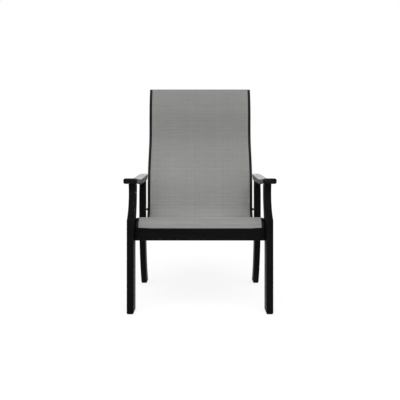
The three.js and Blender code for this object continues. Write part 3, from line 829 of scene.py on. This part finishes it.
# %% A lathe
def turned(profile, origin, axis, count):
    """A closed solid through (radius, depth) rings along axis, in mm. A radius is one number, or
    one for each of the ring's count corners."""
    axis = np.array(axis, float)
    upright = np.array((0, 0, 1.0)) if abs(axis[2]) < 0.5 else np.array((0, 1.0, 0))
    u = np.cross(axis, upright)
    v = np.cross(axis, u)
    turn = np.linspace(0, 2 * math.pi, count, endpoint=False)[:, None]
    circle = np.cos(turn) * u + np.sin(turn) * v
    return skin([
        origin + mm * (axis * depth + np.reshape(radius, (-1, 1)) * circle)
        for radius, depth in profile
    ])


def hexagon(count):
    """A hexagon's radius at each of count even turns, where its corners are at 1."""
    turn = np.linspace(0, 2 * math.pi, count, endpoint=False)
    return math.cos(math.pi / 6) / np.cos((turn % (math.pi / 3)) - math.pi / 6)


ring_corners = 36
hexagonal = hexagon(ring_corners)
print("hexagon", round(hexagonal.min(), 3), "to", round(hexagonal.max(), 3))

# %% Turn the screws
head_radius, head_rim, screw_radius = 7.0, 0.8, 4.0
head_break = (0.25, 0.2)
socket_share, socket_depth, socket_floor, socket_rim = 0.42, 2.2, (0.1, 0.94), 0.25
point_length, point_share = 1, 0.6
steel_sharp = 30
down = (0, 0, -1)


def screw_facts(node, axis):
    """The middle of a screw's head, its radius and its length in mm, from its CAD node."""
    low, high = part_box(node)
    middle = (low + high) / 2
    i = [abs(a) for a in axis].index(1)
    middle[i] = high[i] if axis[i] < 0 else low[i]
    j = (i + 1) % 3
    return np.array(middle), (high[j] - low[j]) / 2 / mm, (high[i] - low[i]) / mm


def shank_radius(radius):
    return radius * screw_radius / head_radius


def screw(node, axis):
    """A countersunk screw with a hexagon socket, in place of its CAD node."""
    place, radius, length = screw_facts(node, axis)
    shank, socket = shank_radius(radius), radius * socket_share
    corners, faces = turned([
        *((socket * share * hexagonal, socket_depth) for share in socket_floor),
        (socket * hexagonal, socket_rim), ((socket + socket_rim) * hexagonal, 0),
        (radius - head_break[0], 0), (radius, head_break[1]), (radius, head_rim),
        (shank, radius - shank + head_rim), (shank, length - point_length),
        (shank * point_share, length),
    ], place, axis, ring_corners)
    refine(node, corners, faces, steel_finish, steel_sharp)


across_screws = {
    "front_leg": ["front_crossbar_screw_1", "front_crossbar_screw_2", "front_rail_screw"],
    "rear_leg": ["rear_crossbar_screw_1", "rear_crossbar_screw_2", "rear_rail_screw"],
    "rail": ["top_spreader_screw", "seat_spreader_screw"],
}
arm_screws = [f"arm_screw_{i}" for i in (1, 2, 3, 4)]
across_all = sum(across_screws.values(), [])
for side, sign in sides.items():
    for plain in across_all:
        screw(f"{plain}_{side}", (-sign, 0, 0))
    for plain in arm_screws:
        screw(f"{plain}_{side}", down)
print("screws", len(across_all) + len(arm_screws), "on each side")

# %% [markdown]
# ## Sawing and drilling
# A countersink is a cone like the screw's own head, a little larger, so the same lathe turns the
# drill. A Boolean cut with all of a board's drills at once leaves clean holes. The Bevel comes
# before it, so that the holes keep their sharp rims.

# %% A drill for countersunk holes
drill_play, drill_above, drill_depth, drill_sides = 0.3, 4, 24, 32


def drill(piece, nodes, axis):
    """Cuts the holes for a piece's screws, and leaves a plain mesh with no modifiers."""
    corners, faces = [], []
    for node in nodes:
        place, radius, _ = screw_facts(node, axis)
        wide, narrow = radius + drill_play, shank_radius(radius) + drill_play
        hole_corners, hole_faces = turned([
            (wide, -drill_above), (wide, head_rim),
            (narrow, wide - narrow + head_rim), (narrow, drill_depth),
        ], place, axis, drill_sides)
        faces += [[i + len(corners) for i in face] for face in hole_faces]
        corners += [tuple(c) for c in hole_corners]
    tool_mesh = bpy.data.meshes.new("drill")
    tool_mesh.from_pydata(corners, [], faces)
    tool = bpy.data.objects.new("drill", tool_mesh)
    bpy.context.scene.collection.objects.link(tool)
    made = piece.modifiers.new("holes", "BOOLEAN")
    made.operation, made.object, made.solver = "DIFFERENCE", tool, "EXACT"
    bpy.context.view_layer.update()
    finished = piece.evaluated_get(bpy.context.evaluated_depsgraph_get())
    drilled, old = bpy.data.meshes.new_from_object(finished), piece.data
    piece.modifiers.clear()
    piece.data = drilled
    drilled.name = piece.name
    bpy.data.objects.remove(tool)
    bpy.data.meshes.remove(tool_mesh)
    bpy.data.meshes.remove(old)
    drilled.shade_smooth()
    drilled.set_sharp_from_angle(angle=math.radians(sharp_angle))
    print(piece.name, len(drilled.polygons), "faces,", len(nodes), "holes")


print("drill", drill_depth, "mm deep with", drill_play, "mm of play")

# %% Saw and drill the legs
inner_face, board_thickness = 302.4, 31.5
edge_radius, edge_segments = 3.0, 4


def board(outline, near, far):
    """A prism of an outline in (y, z) between two distances from the middle of the chair."""
    return skin([
        np.column_stack([np.full(len(outline), x), outline]) * mm + (0, front_face, 0)
        for x in (near, far)
    ])


for side, sign in sides.items():
    for leg, outline in leg_outlines.items():
        corners, faces = board(outline, sign * inner_face, sign * (inner_face + board_thickness))
        node = f"{leg}_{side}"
        piece = refine(node, corners, faces, upright_board)
        soften(piece, edge_radius, edge_segments)
        drill(piece, [f"{plain}_{side}" for plain in across_screws[leg]], (-sign, 0, 0))

# %% [markdown]
# ## The arms
# An arm is shaped on all sides: its top dips in the middle, its rear end is cut away to pass the
# rail, and its edges are rounded with a 9 mm cutter. A sweep of rounded rectangles, each with its
# own width and height, gives all of that at once, and short rings at the ends round the end grain.

# %% Shape the arms
arm_inner, arm_outer = 286.9, 349.4
arm_cut_from, arm_rear_inner, arm_rear_corner = 424, 303.7, 22.0
arm_edge_radius, arm_end_radius = 9.0, 3.0
arm_steps, end_steps, corner_steps, corner_step = 72, 6, 8, 7.5
straight = arm_length - arm_rear_corner


def rounded_rectangle(left, right, low, high, radius, steps):
    return np.concatenate([
        corner(right - radius, low + radius, radius, -90, steps),
        corner(right - radius, high - radius, radius, 0, steps),
        corner(left + radius, high - radius, radius, 90, steps),
        corner(left + radius, low + radius, radius, 180, steps),
    ])


def arm_ring(y, inset, sign):
    """The arm's section at y, drawn in by inset near its ends."""
    past = max(min(y, arm_length - arm_end_radius) - straight, 0)
    cut = (arm_rear_inner - arm_inner) * smooth_step(y, arm_cut_from, arm_length)
    outline = rounded_rectangle(
        arm_inner + cut + inset,
        arm_outer - arm_rear_corner + math.sqrt(arm_rear_corner**2 - past**2) - inset,
        arm_top_at(y) - arm_thickness + inset, arm_top_at(y) - inset,
        arm_edge_radius - inset, corner_steps,
    )
    ring = np.stack([sign * outline[:, 0], np.full(len(outline), y), outline[:, 1]], axis=1)
    return ring * mm + (0, front_face, 0)


end_rings = [
    (arm_end_radius * (1 - math.sin(t)), arm_end_radius * (1 - math.cos(t)))
    for t in np.radians(np.linspace(0, 90, end_steps))
]
turns = np.radians(np.arange(1, corner_steps + 1) * corner_step)
stations = [
    *end_rings,
    *((y, 0.0) for y in np.linspace(arm_end_radius, straight, arm_steps)[1:]),
    *((straight + arm_rear_corner * math.sin(t), 0.0) for t in turns),
    *((arm_length - y, inset) for y, inset in end_rings),
]
for side, sign in sides.items():
    corners, faces = skin([arm_ring(y, inset, sign) for y, inset in sorted(stations)])
    node = f"arm_{side}"
    piece = refine(node, corners, faces, arm_board)
    drill(piece, [f"{plain}_{side}" for plain in arm_screws], down)

# %% [markdown]
# ## Crossbars
# Two straight boards on edge join the side frames. Their boxes come from the CAD nodes, and the
# long edges are rounded like the legs'.

# %% Cut the crossbars
for node in ("front_crossbar", "rear_crossbar"):
    low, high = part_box(node)
    rectangle = np.array([[low.y, low.z], [high.y, low.z], [high.y, high.z], [low.y, high.z]])
    corners, faces = skin([np.column_stack([np.full(4, x), rectangle]) for x in (low.x, high.x)])
    piece = refine(node, corners, faces, crosswise_board)
    soften(piece, edge_radius, edge_segments)
    print(piece.name, round((high.x - low.x) / mm, 1), "mm long")

# %% [markdown]
# ## Spreader bars
# Three round tubes hold the rails apart against the pull of the cloth. They bow away from it, so
# that a sitter never feels them. A circle carried along a shallow parabola makes the bow.

# %% Bend the spreaders
spreader_radius, spreader_half, spreader_bow = 9.5, 276.4, 30.0
spreader_steps, spreader_sides = 60, 28


def nearest_distance(place):
    """How far along the line a place in the scene lies, in mm."""
    y, z = (place.y - front_face) / mm, place.z / mm
    return travelled[np.argmin((drawn[:, 0] - y) ** 2 + (drawn[:, 1] - z) ** 2)]


def spreader(node, fastener):
    """A tube between the rails, level with a fastener at its end and bowed away from the cloth."""
    low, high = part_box(fastener)
    middle = (low + high) / 2
    _, way = line_at(nearest_distance(middle))
    turn = np.linspace(0, 2 * math.pi, spreader_sides, endpoint=False)
    rings = []
    for x in np.linspace(-spreader_half, spreader_half, spreader_steps + 1):
        depth = -spreader_bow * (1 - (x / spreader_half) ** 2)
        rings.append(np.stack([
            np.full(spreader_sides, x * mm),
            middle.y + way[0, 1] * depth * mm + spreader_radius * mm * np.cos(turn),
            middle.z - way[0, 0] * depth * mm + spreader_radius * mm * np.sin(turn),
        ], axis=1))
    corners, faces = skin(rings)
    refine(node, corners, faces, rail_finish)
    print(node, "at", round(nearest_distance(middle)), "mm down the line")


spreader("top_spreader", "top_spreader_screw_right")
spreader("lumbar_spreader", "lumbar_washer_right")
spreader("seat_spreader", "seat_spreader_screw_right")

# %% [markdown]
# ## Hexagon bolts
# The lumbar bar takes the sitter's weight, so it is held by bolts with a hexagon head and a washer,
# which stand out from the rails and show as small dark dots beside them. A chamfer on the head's
# corners and a rounded washer make them read as turned steel. The lathe makes both, and the
# washer's first and last rings are joined, which leaves its hole open.

# %% Turn the bolts and washers
bolt_corner, bolt_chamfer, bolt_face, bolt_shank, bolt_head = 7.3, 6.7, 5.6, 4.0, 5.3
face_edge, chamfer_share, chamfer_middle, chamfer_end = (6.2, 0.25), 0.6, 0.9, 1.5
bolt_hexagon = bolt_corner * hexagonal
chamfered = np.minimum(bolt_hexagon, bolt_chamfer)
halfway = chamfered + (bolt_hexagon - chamfered) * chamfer_share
washer_sides = 40
washer_profile = [(4.3, 0), (7.6, 0), (8, 0.35), (8, 1.25), (7.7, 1.6), (4.3, 1.6)]
washer_last = (len(washer_profile) - 1) * washer_sides
for side, sign in sides.items():
    inward = (-sign, 0, 0)
    node = f"lumbar_bolt_{side}"
    place, _, length = screw_facts(node, inward)
    corners, faces = turned([
        (bolt_face, 0), face_edge, (halfway, chamfer_middle), (bolt_hexagon, chamfer_end),
        (bolt_hexagon, bolt_head), (bolt_shank, bolt_head), (bolt_shank, length),
    ], place, inward, ring_corners)
    refine(node, corners, faces, steel_finish, steel_sharp)
    node = f"lumbar_washer_{side}"
    place, _, thickness = screw_facts(node, inward)
    corners, faces = turned(washer_profile, place, inward, washer_sides)
    following = [(i + 1) % washer_sides for i in range(washer_sides)]
    hole = [[washer_last + i, washer_last + j, j, i] for i, j in enumerate(following)]
    refine(node, corners, faces[:-2] + hole, steel_finish, steel_sharp)
    print(side, "bolt", round(length, 1), "mm long, washer", round(thickness, 1), "mm thick")

# %% [markdown]
# ## Foot pads
# A nylon pad under each leg, set in a little from its edges, keeps the board off wet ground.

# %% Mould the foot pads
pad_corner, pad_rim = 4 * mm, 0.5
for side in sides:
    for foot in ("front_foot_pad", "rear_foot_pad"):
        node = f"{foot}_{side}"
        low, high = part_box(node)
        outline = rounded_rectangle(low.x, high.x, low.y, high.y, pad_corner, steps=6)
        corners, faces = skin([
            np.column_stack([outline, np.full(len(outline), z)]) for z in (low.z, high.z)
        ])
        pad = refine(node, corners, faces, nylon_finish)
        soften(pad, pad_rim, rim_segments, rim_angle)
        print(pad.name, [round(v / mm, 1) for v in high - low], "mm")

# %% [markdown]
# ## The studio
# The picture has a pure white ground with one faint shadow. The camera, mirrors and glass see white
# world light of strength 1, while the light that falls on the chair stays at a plain level. The
# floor is white too: part of it glows, so that only the rest, which is matt, takes the shadow.

# %% The floor
floor_half = 30
floor_colour, floor_glow, floor_matte = 0.8, 0.83, 0.28
white = (1, 1, 1, 1)


def seen(owner):
    """1 for what the camera, a mirror or a glass sees, and 0 for light on its way to the chair."""
    paths = add_node(owner, "LightPath").outputs
    mirrored = compute(owner, "MAXIMUM", paths["Is Camera Ray"], paths["Is Glossy Ray"])
    return compute(owner, "MAXIMUM", mirrored, paths["Is Transmission Ray"])


floor_mesh = bpy.data.meshes.new("floor")
floor_corners = [
    (x * floor_half, y * floor_half, 0) for x, y in ((-1, -1), (1, -1), (1, 1), (-1, 1))
]
floor_mesh.from_pydata(floor_corners, [], [(0, 1, 2, 3)])
floor = bpy.data.objects.new("floor", floor_mesh)
bpy.context.scene.collection.objects.link(floor)
floor_finish, floor_shader = new_finish(
    "white_floor", Base_Color=(*[floor_colour] * 3, 1), Roughness=0.9, Specular_IOR_Level=0.0,
)
glow = add_node(floor_finish, "Emission", {"Color": white, "Strength": floor_glow})
matte = add_node(floor_finish, "BsdfDiffuse", {"Color": (*[floor_matte] * 3, 1)})
part = add_node(floor_finish, "AddShader", {0: glow.outputs[0], 1: matte.outputs[0]})
whole = add_node(floor_finish, "MixShader", {
    0: seen(floor_finish), 1: floor_shader.outputs["BSDF"], 2: part.outputs[0],
})
output = floor_finish.node_tree.nodes["Material Output"]
connect(floor_finish, whole.outputs[0], output, "Surface")
floor_mesh.materials.append(floor_finish)
print("floor glow", floor_glow, "and matt white", floor_matte)

# %% The world
world_light = 0.42
world = bpy.data.worlds.new("studio")
bpy.context.scene.world = world
world.use_nodes = True
plain_light = world.node_tree.nodes["Background"]
plain_light.inputs["Color"].default_value = white
plain_light.inputs["Strength"].default_value = world_light
ground = add_node(world, "Background", {"Color": white, "Strength": 1.0})
choice = add_node(world, "MixShader", {
    0: seen(world), 1: plain_light.outputs[0], 2: ground.outputs[0],
})
connect(world, choice.outputs[0], world.node_tree.nodes["World Output"], "Surface")
print("world light", world_light)

# %% [markdown]
# ## Lamps
# Three lamps light the cloth as in the picture. A broad high sun from in front shades the back from
# its head down to the bend. A large soft lamp in front fills the shade and keeps the black boards
# readable. The lower back still came out too dark, so a weak strip above that lamp is aimed at it,
# with a narrow spread that mostly spares the headrest and the front of the seat.

# %% Hang the lamps
def lamp(name, kind, place, target, strength):
    light = bpy.data.objects.new(name, bpy.data.lights.new(name, kind))
    light.data.energy = strength
    aim(light, place, target)
    return light.data


high_key = lamp("high_key", "SUN", place=(0, -1.0, 1.5), target=(0, 0, 0), strength=1.1)
high_key.angle = 1.0
front_fill = lamp(
    "front_fill", "AREA", place=(0, -2.4, 1.25), target=(0, 0.1, 0.5), strength=11.5,
)
front_fill.size = 1.2
lumbar_strip = lamp(
    "lumbar_strip", "AREA", place=(0, -2.4, 1.6), target=(0, 0.15, 0.5), strength=0.22,
)
lumbar_strip.shape = "RECTANGLE"
lumbar_strip.size, lumbar_strip.size_y = 0.8, 0.2
lumbar_strip.spread = np.radians(12)
bpy.context.scene.view_settings.view_transform = "Standard"
print("lamps", [light.name for light in bpy.data.lights])
